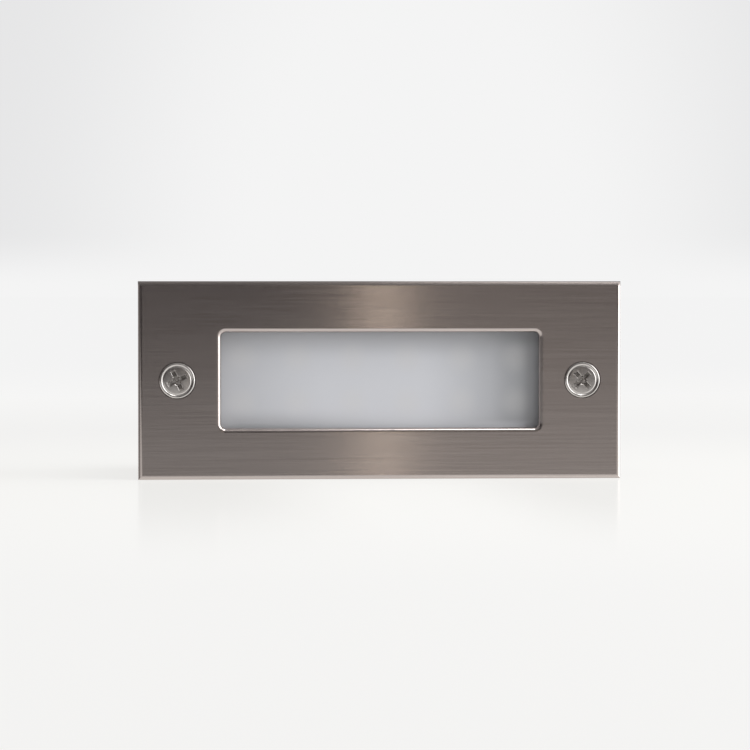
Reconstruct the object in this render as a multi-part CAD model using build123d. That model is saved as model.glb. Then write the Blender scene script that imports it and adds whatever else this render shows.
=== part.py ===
from build123d import *
import os

# Recessed step light: a brushed stainless faceplate with a lit window, screwed to a box in the wall.
# Millimetres. X runs along the plate, Y goes into the wall from its surface at y = 0, and Z is up.
# The front of the light faces -Y. The light unit pulls out of the box along -Y.

# ---- Driving dimensions -------------------------------------------------------------------------

# Faceplate
plate_length = 110.0
plate_height = 45.0
plate_thickness = 2.5
edge_round = 0.8
side_border = 18.8
top_border = 11.65
window_corner = 1.0
gasket_thickness = 1.5
gasket_margin = 0.7

# Face screws: M4, 90 degree countersunk, held captive by a nylon ring
screw_inset = 8.85
screw_radius = 2.0
screw_length = 20.0
screw_head_radius = 3.55
screw_head_land = 0.2
screw_head_round = 0.15
screw_head_sink = 0.3
screw_hole_radius = 2.25
screw_tip_chamfer = 0.5
countersink_radius = 4.1
cross_span = 4.4
cross_width = 1.0
cross_depth = 1.3
cross_point_depth = 0.8
cross_point_radius = 1.15
left_cross_angle = 25.0
right_cross_angle = 42.0
ring_radius = 3.7
ring_thickness = 1.2
ring_gap = 0.4
shaft_clearance = 0.05

# Recess box in the wall
wiring_gap = 3.8
box_wall = 2.0
box_floor = 2.5
box_corner = 3.5
boss_front = 8.6
boss_radius = 3.95
boss_web = 3.0
insert_radius = 2.8
insert_length = 8.0
insert_sink = 0.3
boss_relief_radius = 2.3
boss_relief_depth = 16.0
rib_height = 1.2
rib_width = 1.6
rib_first = 16.0
rib_pitch = 16.0
rib_count = 2
entry_radius = 6.0
plug_gap = 12.0
rubber_flange = 1.5
rubber_flange_thickness = 1.2
grommet_bore_radius = 3.25
plug_dome = 0.5
fixing_inset = 10.15
fixing_hole_radius = 2.1
fixing_pad_radius = 4.5
fixing_pad_thickness = 1.0

# Clearances
unit_clearance = 0.6
ring_side_clearance = 0.35
ear_clearance = 0.5
gasket_clearance = 0.3
pocket_clearance = 0.2
board_clearance = 0.3
notch_clearance = 0.7
thread_clearance = 0.03
hole_clearance = 0.1
rubber_clearance = 0.05

# Lens and its gaskets
lens_thickness = 3.0
lens_overlap_x = 2.3
lens_overlap_z = 2.0
lens_corner = 2.0
front_gasket_thickness = 0.8
rear_gasket_thickness = 0.5
gasket_setback = 0.5
ledge_width = 1.9

# Lamp tray: light chamber in front of the floor, driver chamber behind it
tray_wall = 1.8
tray_corner = 3.0
tray_floor = 2.5
light_chamber_depth = 8.9
driver_chamber_depth = 11.8
flange_thickness = 2.5
stud_radius = 1.5
stud_edge = 4.0
stud_tail = 1.0
washer_radius = 3.2
washer_thickness = 0.5
nut_flats = 5.5
nut_thickness = 2.4
cover_boss_radius = 2.6
cover_boss_inset = 1.4
cover_thread_depth = 6.0

# LED board and reflector
pad_thickness = 0.5
led_board_thickness = 1.6
led_end_margin = 5.05
led_row_margin = 5.65
led_columns = 6
led_rows = 2
led_length = 2.8
led_width = 3.5
led_height = 0.8
phosphor_length = 2.0
phosphor_width = 2.6
phosphor_depth = 0.25
led_screw_count = 3
led_screw_length = 4.0
led_screw_bite = 2.1
reflector_wall = 1.2
reflector_web = 1.0
reflector_gap = 0.3
reflector_led_hole = 2.9
reflector_screw_hole = 2.9
chip_length = 2.0
chip_width = 1.25
chip_height = 0.55

# Small screws: M2.5 pan head with crossed slots
small_screw_radius = 1.25
small_head_radius = 2.2
small_head_height = 1.6
small_head_round = 0.5
small_slot_span = 2.7
small_slot_width = 0.6
small_slot_depth = 0.7

# Leads from driver to LED board
lead_radius = 0.65
lead_clearance = 0.3
lead_spacing = 5.0
lead_inset = 2.4
lead_rise = 2.8
lead_reach = 3.3
lead_bend = 1.4
solder_radius = 0.85
solder_height = 0.7

# Driver
driver_board_gap_x = 0.25
driver_board_gap_z = 1.05
driver_board_thickness = 1.6
driver_standoff = 3.0
pillar_radius = 2.4
pillar_inset_x = 3.0
pillar_inset_z = 2.5
driver_screw_length = 6.0
driver_screw_bite = 4.6
choke_inset = 7.0
choke_radius = 4.6
choke_waist = 3.7
choke_height = 6.5
choke_rim = 0.9
capacitor_step = 11.5
capacitor_inset = 4.5
capacitor_radius = 3.15
capacitor_height = 7.0
capacitor_groove_height = 1.2
capacitor_groove_depth = 0.25
rectifier_x = 8.0
rectifier_z = -6.0
controller_x = -3.0
controller_z = 5.5
package_length = 4.9
package_width = 3.9
package_height = 1.6
resistor_row_x = 2.0
resistor_row_z = -2.0
resistor_pitch = 3.2
resistor_count = 3
terminal_inset = 9.5
terminal_length = 10.0
terminal_width = 10.0
terminal_height = 7.0
terminal_pitch = 5.0
terminal_mouth = 2.6
terminal_mouth_depth = 4.0
terminal_mouth_rise = 1.4
terminal_screw_radius = 1.6
terminal_screw_length = 1.8
terminal_screw_sink = 0.6
terminal_well_depth = 2.4

# Rear cover and cable gland
seal_thickness = 1.0
cover_thickness = 2.0
cover_screw_length = 8.0
gland_thread_radius = 6.0
gland_bore_radius = 3.5
gland_flats = 15.0
gland_flange_thickness = 3.5
gland_washer_radius = 7.3
gland_washer_thickness = 1.0
gland_tail = 0.5
locknut_thickness = 3.0
sleeve_radius = 5.2
sleeve_wall = 0.5
sleeve_length = 6.5
sleeve_step = 1.0
gland_seal_bore_radius = 3.0
gland_seal_proud = 0.5
cap_flats = 14.0
cap_crown_radius = 7.84
cap_gap = 0.5
cap_end_thickness = 2.0
cap_hole_radius = 3.4
cap_round = 1.2

# ---- Places worked out from the driving dimensions ----------------------------------------------

window_length = plate_length - 2 * side_border
window_height = plate_height - 2 * top_border
screw_x = plate_length / 2 - screw_inset
screw_sides = (-1, 1)

plate_back = -gasket_thickness
plate_front = plate_back - plate_thickness

lens_length = window_length + 2 * lens_overlap_x
lens_height = window_height + 2 * lens_overlap_z
lens_front = plate_back + front_gasket_thickness
lens_back = lens_front + lens_thickness
ledge = lens_back + rear_gasket_thickness
chamber_length = lens_length - 2 * ledge_width
chamber_height = lens_height - 2 * ledge_width
chamber_corner = lens_corner

pocket_length = lens_length + 2 * pocket_clearance
pocket_height = lens_height + 2 * pocket_clearance
tray_length = pocket_length + 2 * tray_wall
tray_height = pocket_height + 2 * tray_wall
floor_front = ledge + light_chamber_depth
floor_back = floor_front + tray_floor
rim_back = floor_back + driver_chamber_depth
driver_chamber_length = tray_length - 2 * tray_wall
driver_chamber_height = tray_height - 2 * tray_wall
cover_front = rim_back + seal_thickness
cover_back = cover_front + cover_thickness
cover_screw_x = driver_chamber_length / 2 - cover_boss_inset
cover_screw_z = driver_chamber_height / 2 - cover_boss_inset

box_inner_length = 2 * (screw_x + ring_radius + ring_side_clearance)
box_inner_height = tray_height + 2 * unit_clearance
box_length = box_inner_length + 2 * box_wall
box_height = box_inner_height + 2 * box_wall

flange_length = box_inner_length - 2 * ear_clearance
flange_back = plate_back + flange_thickness
stud_x = (tray_length + flange_length) / 4
stud_z = tray_height / 2 - stud_edge
stud_places = [(x, z) for x in (-stud_x, stud_x) for z in (-stud_z, stud_z)]
washer_back = flange_back + washer_thickness
nut_back = washer_back + nut_thickness
notch_radius = ring_radius + notch_clearance

led_board_back = floor_front - pad_thickness
led_board_front = led_board_back - led_board_thickness
led_board_length = chamber_length - 2 * board_clearance
led_board_height = chamber_height - 2 * board_clearance
led_front = led_board_front - led_height
led_pitch = (led_board_length - 2 * led_end_margin) / (led_columns - 1)
led_row_spacing = (led_board_height - 2 * led_row_margin) / (led_rows - 1)
led_places = [
    ((column - (led_columns - 1) / 2) * led_pitch, (row - (led_rows - 1) / 2) * led_row_spacing)
    for column in range(led_columns)
    for row in range(led_rows)
]
led_screw_places = [((i - (led_screw_count - 1) / 2) * 2 * led_pitch, 0) for i in range(led_screw_count)]
led_chip_places = [(-led_pitch, 0), (led_pitch, 0)]

lead_x = led_board_length / 2 - lead_inset
lead_end_x = lead_x - lead_reach
lead_places = [(lead_x, -lead_spacing / 2), (lead_x, lead_spacing / 2)]

driver_board_length = 2 * (lead_x - lead_radius - driver_board_gap_x)
driver_board_height = driver_chamber_height - 2 * driver_board_gap_z
driver_board_front = floor_back + driver_standoff
driver_board_back = driver_board_front + driver_board_thickness
pillar_x = driver_board_length / 2 - pillar_inset_x
pillar_z = driver_board_height / 2 - pillar_inset_z
pillar_places = [(x, z) for x in (-pillar_x, pillar_x) for z in (-pillar_z, pillar_z)]
cover_screw_places = [
    (x, z) for x in (-cover_screw_x, cover_screw_x) for z in (-cover_screw_z, cover_screw_z)
]
choke_x = choke_inset - driver_board_length / 2
capacitor_x = choke_x + capacitor_step
capacitor_z = driver_board_height / 2 - capacitor_inset
terminal_x = driver_board_length / 2 - terminal_inset
terminal_places = [(terminal_x, -terminal_pitch / 2), (terminal_x, terminal_pitch / 2)]

gland_flange_front = cover_back + gland_washer_thickness
gland_flange_back = gland_flange_front + gland_flange_thickness
sleeve_back = gland_flange_back + sleeve_length
sleeve_inner_radius = sleeve_radius - sleeve_wall
seal_front = gland_flange_back + sleeve_step
seal_back = sleeve_back + gland_seal_proud
cap_back = seal_back + cap_end_thickness

box_inner_back = cap_back + wiring_gap + rubber_flange_thickness
box_depth = box_inner_back + box_floor
fixing_x = screw_x - fixing_inset
plug_x = plug_gap - fixing_x

screw_top = plate_front + screw_head_sink
insert_front = boss_front + insert_sink
ring_back = boss_front - ring_gap


# ---- Shapes that several pieces use --------------------------------------------------------------


def slab(length, height, front, back, corner=0.0):
    """A rectangular slab square to Y, centred on the Y axis, with its four long corners rounded."""
    plane = Plane(origin=(0, back, 0), x_dir=(1, 0, 0), z_dir=(0, -1, 0))
    outline = RectangleRounded(length, height, corner) if corner > 0 else Rectangle(length, height)
    return extrude(plane * outline, amount=back - front)


def frame(outer_length, outer_height, inner_length, inner_height, front, back, corner, inner_corner):
    """A rectangular ring square to Y."""
    outer = slab(outer_length, outer_height, front, back, corner)
    return outer - slab(inner_length, inner_height, front, back, inner_corner)


def rod(radius, front, back, x=0.0, z=0.0):
    """A round bar along Y."""
    return Pos(x, (front + back) / 2, z) * Rot(90, 0, 0) * Cylinder(radius, back - front)


def taper(front_radius, back_radius, front, back, x=0.0, z=0.0):
    """A round bar along Y whose radius changes from its front end to its back end."""
    return Pos(x, (front + back) / 2, z) * Rot(90, 0, 0) * Cone(back_radius, front_radius, back - front)


def tube(outer_radius, inner_radius, front, back, x=0.0, z=0.0):
    """A round bar along Y with a bore right through it."""
    return rod(outer_radius, front, back, x, z) - rod(inner_radius, front, back, x, z)


def hexagon(flats, front, back, x=0.0, z=0.0):
    """A hexagonal bar along Y, with two of its flats facing along X."""
    plane = Plane(origin=(x, back, z), x_dir=(0, 0, 1), z_dir=(0, -1, 0))
    outline = RegularPolygon(flats / 2, side_count=6, major_radius=False)
    return extrude(plane * outline, amount=back - front)


def block(length, width, front, back, x=0.0, z=0.0):
    """A box between two places along Y."""
    return Pos(x, (front + back) / 2, z) * Box(length, back - front, width)


def rods(radius, front, back, places):
    """One round bar along Y at each place."""
    return [rod(radius, front, back, x, z) for x, z in places]


def group(solids):
    """Several equal pieces that make one node."""
    return Compound(children=list(solids))


def edges_at(shape, y, reach=0.01):
    """The edges that lie in the plane at this depth."""
    return shape.edges().filter_by_position(Axis.Y, y - reach, y + reach)


def small_screw(head_seat, length, x, z, head_side):
    """A pan-head screw along Y. head_side is -1 where its head is in front of its seat, 1 where behind."""
    head_top = head_seat + head_side * small_head_height
    head = rod(small_head_radius, min(head_seat, head_top), max(head_seat, head_top), x, z)
    head = fillet(edges_at(head, head_top), small_head_round)
    tip = head_seat - head_side * length
    shank = rod(small_screw_radius, min(head_seat, tip), max(head_seat, tip), x, z)
    slot_bottom = head_top - head_side * small_slot_depth
    slot_from = min(head_top, slot_bottom)
    slot_to = max(head_top, slot_bottom)
    slots = block(small_slot_span, small_slot_width, slot_from, slot_to, x, z)
    slots += block(small_slot_width, small_slot_span, slot_from, slot_to, x, z)
    return head + shank - slots


# ---- Faceplate and what is fixed to it -----------------------------------------------------------


def make_faceplate():
    plate = slab(plate_length, plate_height, plate_front, plate_back)
    plate -= slab(window_length, window_height, plate_front, plate_back, window_corner)
    plate = fillet(edges_at(plate, plate_front), edge_round)
    sink_depth = countersink_radius - screw_hole_radius
    for side in screw_sides:
        x = side * screw_x
        plate -= rod(screw_hole_radius, plate_front, plate_back, x)
        plate -= taper(countersink_radius, screw_hole_radius, plate_front, plate_front + sink_depth, x)
    return plate


def make_wall_gasket():
    return frame(
        plate_length - 2 * gasket_margin,
        plate_height - 2 * gasket_margin,
        box_length + 2 * gasket_clearance,
        box_height + 2 * gasket_clearance,
        plate_back,
        0,
        0,
        box_corner,
    )


def make_weld_studs():
    return group(rods(stud_radius, plate_back, nut_back + stud_tail, stud_places))


def make_stud_washers():
    bore = stud_radius + hole_clearance
    return group(tube(washer_radius, bore, flange_back, washer_back, x, z) for x, z in stud_places)


def make_stud_nuts():
    bore = stud_radius + thread_clearance
    nuts = []
    for x, z in stud_places:
        nuts.append(hexagon(nut_flats, washer_back, nut_back, x, z) - rod(bore, washer_back, nut_back, x, z))
    return group(nuts)


def make_face_screw(x, cross_angle):
    cone_front = screw_top + screw_head_land
    cone_back = cone_front + screw_head_radius - screw_radius
    tip = screw_top + screw_length
    screw = fillet(edges_at(rod(screw_head_radius, screw_top, cone_front), screw_top), screw_head_round)
    screw += taper(screw_head_radius, screw_radius, cone_front, cone_back)
    screw += rod(screw_radius, cone_back, tip - screw_tip_chamfer)
    screw += taper(screw_radius, screw_radius - screw_tip_chamfer, tip - screw_tip_chamfer, tip)
    cross_bottom = screw_top + cross_depth
    cross = block(cross_span, cross_width, screw_top, cross_bottom)
    cross += block(cross_width, cross_span, screw_top, cross_bottom)
    cross += taper(cross_point_radius, cross_point_radius / 2, screw_top, cross_bottom + cross_point_depth)
    return Pos(x, 0, 0) * (screw - Rot(0, -cross_angle, 0) * cross)


def make_retaining_ring(x):
    return tube(ring_radius, screw_radius + shaft_clearance, ring_back - ring_thickness, ring_back, x)


# ---- Recess box ----------------------------------------------------------------------------------


def make_recess_box():
    box = slab(box_length, box_height, 0, box_depth, box_corner)
    for i in range(rib_count):
        front = rib_first + i * rib_pitch
        rib_length = box_length + 2 * rib_height
        rib_span = box_height + 2 * rib_height
        box += slab(rib_length, rib_span, front, front + rib_width, box_corner + rib_height)
    box -= slab(box_inner_length, box_inner_height, 0, box_inner_back, box_corner - box_wall)
    web_length = box_inner_length / 2 - screw_x + box_wall / 2
    for side in screw_sides:
        x = side * screw_x
        box += rod(boss_radius, boss_front, box_inner_back, x)
        box += block(web_length, boss_web, boss_front, box_inner_back, x + side * web_length / 2)
        box -= rod(insert_radius + thread_clearance, boss_front, insert_front + insert_length, x)
        box -= rod(boss_relief_radius, boss_front, boss_front + boss_relief_depth, x)
    for side in screw_sides:
        x = side * fixing_x
        box += rod(fixing_pad_radius, box_inner_back - fixing_pad_thickness, box_inner_back, x)
        box -= rod(fixing_hole_radius, box_inner_back - fixing_pad_thickness, box_depth, x)
    for x in (0, plug_x):
        box -= rod(entry_radius, box_inner_back, box_depth, x)
    return box


def make_threaded_inserts():
    bore = screw_radius + shaft_clearance
    back = insert_front + insert_length
    return group(tube(insert_radius, bore, insert_front, back, side * screw_x) for side in screw_sides)


def rubber_bung(x):
    """The shape that the grommet and the blank plug share: a waist in the wall between two flanges."""
    flange_radius = entry_radius + rubber_flange
    bung = rod(entry_radius - rubber_clearance, box_inner_back, box_depth, x)
    bung += rod(flange_radius, box_inner_back - rubber_flange_thickness, box_inner_back, x)
    bung += rod(flange_radius, box_depth, box_depth + rubber_flange_thickness, x)
    return bung


def make_entry_grommet():
    front = box_inner_back - rubber_flange_thickness
    return rubber_bung(0) - rod(grommet_bore_radius, front, box_depth + rubber_flange_thickness)


def make_blank_plug():
    plug = rubber_bung(plug_x)
    outer_face = box_depth + rubber_flange_thickness
    return plug + taper(entry_radius, entry_radius - plug_dome, outer_face, outer_face + plug_dome, plug_x)


# ---- Lens, tray and light chamber ----------------------------------------------------------------


def make_lens_front_gasket():
    return frame(
        lens_length,
        lens_height,
        window_length + 2 * gasket_setback,
        window_height + 2 * gasket_setback,
        plate_back,
        lens_front,
        lens_corner,
        window_corner + gasket_setback,
    )


def make_diffuser_lens():
    return slab(lens_length, lens_height, lens_front, lens_back, lens_corner)


def make_lens_rear_gasket():
    return frame(
        lens_length,
        lens_height,
        chamber_length,
        chamber_height,
        lens_back,
        ledge,
        lens_corner,
        chamber_corner,
    )


def cover_rim(front, back):
    """The wall of the driver chamber with its four screw bosses, which the cover seal repeats."""
    rim = frame(
        tray_length,
        tray_height,
        driver_chamber_length,
        driver_chamber_height,
        front,
        back,
        tray_corner,
        tray_corner - tray_wall,
    )
    for boss in rods(cover_boss_radius, front, back, cover_screw_places):
        rim += boss
    return rim


def make_lamp_tray():
    tray = slab(tray_length, tray_height, plate_back, floor_back, tray_corner)
    tray += slab(flange_length, tray_height, plate_back, flange_back, tray_corner)
    tray += cover_rim(floor_back, rim_back)
    for pillar in rods(pillar_radius, floor_back, driver_board_front, pillar_places):
        tray += pillar
    tray -= slab(pocket_length, pocket_height, plate_back, ledge, lens_corner + pocket_clearance)
    tray -= slab(chamber_length, chamber_height, ledge, floor_front, chamber_corner)
    notch_end = flange_length / 2
    notch_length = notch_end - screw_x
    for side in screw_sides:
        x = side * screw_x
        tray -= rod(notch_radius, plate_back, flange_back, x) - slab(
            tray_length, tray_height, plate_back, flange_back
        )
        tray -= block(notch_length, 2 * notch_radius, plate_back, flange_back, x + side * notch_length / 2)
    holes = rods(stud_radius + hole_clearance, plate_back, flange_back, stud_places)
    thread = small_screw_radius + thread_clearance
    holes += rods(thread, floor_front, floor_front + led_screw_bite, led_screw_places)
    holes += rods(thread, driver_board_front - driver_screw_bite, driver_board_front, pillar_places)
    holes += rods(thread, rim_back - cover_thread_depth - hole_clearance, rim_back, cover_screw_places)
    holes += rods(lead_radius + lead_clearance, floor_front, floor_back, lead_places)
    for hole in holes:
        tray -= hole
    return tray


def make_reflector():
    rim_front = ledge + reflector_gap
    web_back = led_board_front - small_head_height - reflector_gap
    web_front = web_back - reflector_web
    inner_length = led_board_length - 2 * reflector_wall
    inner_height = led_board_height - 2 * reflector_wall
    reflector = frame(
        led_board_length,
        led_board_height,
        inner_length,
        inner_height,
        rim_front,
        led_board_front,
        chamber_corner,
        window_corner,
    )
    reflector += slab(inner_length, inner_height, web_front, web_back, window_corner)
    for hole in rods(reflector_led_hole, web_front, web_back, led_places):
        reflector -= hole
    for hole in rods(reflector_screw_hole, web_front, web_back, led_screw_places):
        reflector -= hole
    return reflector


def make_led_board():
    board = slab(led_board_length, led_board_height, led_board_front, led_board_back, chamber_corner)
    holes = rods(small_screw_radius + hole_clearance, led_board_front, led_board_back, led_screw_places)
    holes += rods(lead_radius + hole_clearance, led_board_front, led_board_back, lead_places)
    for hole in holes:
        board -= hole
    return board


def make_led_packages():
    packages = []
    for x, z in led_places:
        package = block(led_length, led_width, led_front, led_board_front, x, z)
        package -= block(phosphor_length, phosphor_width, led_front, led_front + phosphor_depth, x, z)
        packages.append(package)
    return group(packages)


def make_led_phosphors():
    back = led_front + phosphor_depth
    return group(block(phosphor_length, phosphor_width, led_front, back, x, z) for x, z in led_places)


def make_led_resistors():
    front = led_board_front - chip_height
    return group(block(chip_length, chip_width, front, led_board_front, x, z) for x, z in led_chip_places)


def make_led_board_screws():
    return group(small_screw(led_board_front, led_screw_length, x, z, -1) for x, z in led_screw_places)


def make_thermal_pad():
    pad = slab(led_board_length, led_board_height, led_board_back, floor_front, chamber_corner)
    holes = rods(small_screw_radius + hole_clearance, led_board_back, floor_front, led_screw_places)
    holes += rods(lead_radius + lead_clearance, led_board_back, floor_front, lead_places)
    for hole in holes:
        pad -= hole
    return pad


# ---- Leads ---------------------------------------------------------------------------------------


def make_lead(z):
    """A lead from the LED board, through the tray floor, over the driver board's edge and down onto it."""
    top = driver_board_back + lead_rise
    route = FilletPolyline(
        (lead_x, led_board_front, z),
        (lead_x, top, z),
        (lead_end_x, top, z),
        (lead_end_x, driver_board_back, z),
        radius=lead_bend,
    )
    start = Plane(origin=(lead_x, led_board_front, z), z_dir=(0, 1, 0))
    return sweep(start * Circle(lead_radius), path=route)


def make_solder_joints():
    dome_front = led_board_front - solder_height
    collar_back = driver_board_back + solder_height
    collar_radius = lead_radius + solder_radius
    bore = lead_radius + thread_clearance
    joints = []
    for x, z in lead_places:
        joints.append(taper(solder_radius / 2, solder_radius, dome_front, led_board_front, x, z))
        collar = taper(collar_radius, solder_radius, driver_board_back, collar_back, lead_end_x, z)
        joints.append(collar - rod(bore, driver_board_back, collar_back, lead_end_x, z))
    return group(joints)


# ---- Driver --------------------------------------------------------------------------------------


def make_driver_board():
    board = slab(driver_board_length, driver_board_height, driver_board_front, driver_board_back)
    bore = small_screw_radius + hole_clearance
    for hole in rods(bore, driver_board_front, driver_board_back, pillar_places):
        board -= hole
    return board


def make_driver_choke():
    top = driver_board_back + choke_height
    choke = rod(choke_waist, driver_board_back, top, choke_x)
    choke += rod(choke_radius, driver_board_back, driver_board_back + choke_rim, choke_x)
    choke += rod(choke_radius, top - choke_rim, top, choke_x)
    return choke


def make_driver_capacitors():
    top = driver_board_back + capacitor_height
    groove_back = driver_board_back + 2 * capacitor_groove_height
    groove_radius = capacitor_radius - capacitor_groove_depth
    capacitors = []
    for z in (-capacitor_z, capacitor_z):
        can = rod(capacitor_radius, driver_board_back, top, capacitor_x, z)
        can -= tube(
            capacitor_radius + capacitor_groove_depth,
            groove_radius,
            driver_board_back + capacitor_groove_height,
            groove_back,
            capacitor_x,
            z,
        )
        capacitors.append(can)
    return group(capacitors)


def make_driver_chips():
    top = driver_board_back + package_height
    chips = [
        block(package_length, package_width, driver_board_back, top, rectifier_x, rectifier_z),
        block(package_length, package_width, driver_board_back, top, controller_x, controller_z),
    ]
    chip_top = driver_board_back + chip_height
    for i in range(resistor_count):
        x = resistor_row_x + i * resistor_pitch
        chips.append(block(chip_width, chip_length, driver_board_back, chip_top, x, resistor_row_z))
    return group(chips)


def make_terminal_block():
    top = driver_board_back + terminal_height
    body = block(terminal_length, terminal_width, driver_board_back, top, terminal_x)
    mouth_front = driver_board_back + terminal_mouth_rise
    mouth_x = terminal_x - terminal_length / 2 + terminal_mouth_depth / 2
    for x, z in terminal_places:
        body -= rod(terminal_screw_radius + hole_clearance, top - terminal_well_depth, top, x, z)
        body -= block(
            terminal_mouth_depth, terminal_mouth, mouth_front, mouth_front + terminal_mouth, mouth_x, z
        )
    return body


def make_terminal_screws():
    well_bottom = driver_board_back + terminal_height - terminal_well_depth
    head_back = well_bottom + terminal_screw_length
    slot_front = head_back - terminal_screw_sink
    screws = []
    for x, z in terminal_places:
        screw = rod(terminal_screw_radius, well_bottom, head_back, x, z)
        screws.append(screw - block(2 * terminal_screw_radius, small_slot_width, slot_front, head_back, x, z))
    return group(screws)


def make_driver_screws():
    return group(small_screw(driver_board_back, driver_screw_length, x, z, 1) for x, z in pillar_places)


# ---- Rear cover and cable gland ------------------------------------------------------------------


def make_rear_cover_seal():
    seal = cover_rim(rim_back, cover_front)
    for hole in rods(small_screw_radius + hole_clearance, rim_back, cover_front, cover_screw_places):
        seal -= hole
    return seal


def make_rear_cover():
    cover = slab(tray_length, tray_height, cover_front, cover_back, tray_corner)
    for hole in rods(small_screw_radius + hole_clearance, cover_front, cover_back, cover_screw_places):
        cover -= hole
    return cover - rod(gland_thread_radius + hole_clearance, cover_front, cover_back)


def make_rear_cover_screws():
    return group(small_screw(cover_back, cover_screw_length, x, z, 1) for x, z in cover_screw_places)


def make_gland_washer():
    bore = gland_thread_radius + hole_clearance
    return tube(gland_washer_radius, bore, cover_back, gland_flange_front)


def make_gland_body():
    thread_front = cover_front - locknut_thickness - gland_tail
    body = rod(gland_thread_radius, thread_front, gland_flange_front)
    body += hexagon(gland_flats, gland_flange_front, gland_flange_back)
    body += rod(sleeve_radius, gland_flange_back, sleeve_back)
    body -= rod(gland_bore_radius, thread_front, sleeve_back)
    return body - rod(sleeve_inner_radius, seal_front, sleeve_back)


def make_gland_locknut():
    front = cover_front - locknut_thickness
    return hexagon(gland_flats, front, cover_front) - rod(
        gland_thread_radius + thread_clearance, front, cover_front
    )


def make_gland_seal():
    return tube(sleeve_inner_radius - thread_clearance, gland_seal_bore_radius, seal_front, seal_back)


def make_gland_cap():
    front = gland_flange_back + cap_gap
    crown = fillet(edges_at(rod(cap_crown_radius, front, cap_back), cap_back), cap_round)
    cap = hexagon(cap_flats, front, cap_back) & crown
    cap -= rod(sleeve_radius + thread_clearance, front, seal_back)
    return cap - rod(cap_hole_radius, seal_back, cap_back)


# ---- One file for each piece ---------------------------------------------------------------------

pieces = {
    "recess_box": make_recess_box(),
    "threaded_inserts": make_threaded_inserts(),
    "entry_grommet": make_entry_grommet(),
    "blank_plug": make_blank_plug(),
    "faceplate": make_faceplate(),
    "wall_gasket": make_wall_gasket(),
    "weld_studs": make_weld_studs(),
    "stud_washers": make_stud_washers(),
    "stud_nuts": make_stud_nuts(),
    "left_screw": make_face_screw(-screw_x, left_cross_angle),
    "right_screw": make_face_screw(screw_x, right_cross_angle),
    "left_retaining_ring": make_retaining_ring(-screw_x),
    "right_retaining_ring": make_retaining_ring(screw_x),
    "lens_front_gasket": make_lens_front_gasket(),
    "diffuser_lens": make_diffuser_lens(),
    "lens_rear_gasket": make_lens_rear_gasket(),
    "lamp_tray": make_lamp_tray(),
    "reflector": make_reflector(),
    "led_board": make_led_board(),
    "led_packages": make_led_packages(),
    "led_phosphors": make_led_phosphors(),
    "led_resistors": make_led_resistors(),
    "led_board_screws": make_led_board_screws(),
    "thermal_pad": make_thermal_pad(),
    "positive_wire": make_lead(lead_spacing / 2),
    "negative_wire": make_lead(-lead_spacing / 2),
    "solder_joints": make_solder_joints(),
    "driver_board": make_driver_board(),
    "driver_choke": make_driver_choke(),
    "driver_capacitors": make_driver_capacitors(),
    "driver_chips": make_driver_chips(),
    "terminal_block": make_terminal_block(),
    "terminal_screws": make_terminal_screws(),
    "driver_screws": make_driver_screws(),
    "rear_cover_seal": make_rear_cover_seal(),
    "rear_cover": make_rear_cover(),
    "rear_cover_screws": make_rear_cover_screws(),
    "gland_washer": make_gland_washer(),
    "gland_body": make_gland_body(),
    "gland_locknut": make_gland_locknut(),
    "gland_seal": make_gland_seal(),
    "gland_cap": make_gland_cap(),
}

os.makedirs("parts", exist_ok=True)
for name, shape in pieces.items():
    export_step(shape, f"parts/{name}.step")
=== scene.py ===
import math

import bmesh
import bpy
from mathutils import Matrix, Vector


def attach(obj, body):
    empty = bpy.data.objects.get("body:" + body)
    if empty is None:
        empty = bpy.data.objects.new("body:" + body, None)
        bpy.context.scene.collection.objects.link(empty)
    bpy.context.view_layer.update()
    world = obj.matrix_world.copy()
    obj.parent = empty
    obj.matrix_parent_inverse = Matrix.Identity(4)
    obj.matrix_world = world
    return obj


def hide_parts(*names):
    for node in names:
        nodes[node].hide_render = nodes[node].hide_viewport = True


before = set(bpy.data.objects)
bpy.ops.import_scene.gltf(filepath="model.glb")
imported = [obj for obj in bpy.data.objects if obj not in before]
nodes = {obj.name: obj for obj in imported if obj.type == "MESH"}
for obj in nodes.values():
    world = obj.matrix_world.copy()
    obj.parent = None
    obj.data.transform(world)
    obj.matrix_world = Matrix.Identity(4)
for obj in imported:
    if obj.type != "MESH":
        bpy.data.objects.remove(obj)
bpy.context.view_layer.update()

# ---- Recess box ------------------------------------------------------------------------------
# The box that is mortared into the wall and stays there: glass-filled nylon, moulded in one piece
# with its screw bosses, mortar ribs and cable entries. Its outside has a spark-eroded grain.

mm = 0.001
same_place = 0.001 * mm


class Signal:
    """A shader socket that takes Python arithmetic: each operator adds the Math node for it."""

    def __init__(self, finish, socket):
        self.finish = finish
        self.socket = socket

    def maths(self, operation, *others):
        values = dict(enumerate((self, *others)))
        return self.finish.add("Math", {"operation": operation}, values)

    def __add__(self, other):
        return self.maths("ADD", other)

    def __sub__(self, other):
        return self.maths("SUBTRACT", other)

    def __rsub__(self, other):
        return self.finish.add("Math", {"operation": "SUBTRACT"}, {0: other, 1: self})

    def __mul__(self, other):
        return self.maths("MULTIPLY", other)

    def __truediv__(self, other):
        return self.maths("DIVIDE", other)

    def __pow__(self, other):
        return self.maths("POWER", other)

    def __gt__(self, other):
        return self.maths("GREATER_THAN", other)

    def __lt__(self, other):
        return self.maths("LESS_THAN", other)

    def __abs__(self):
        return self.maths("ABSOLUTE")

    __radd__ = __add__
    __rmul__ = __mul__


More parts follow.
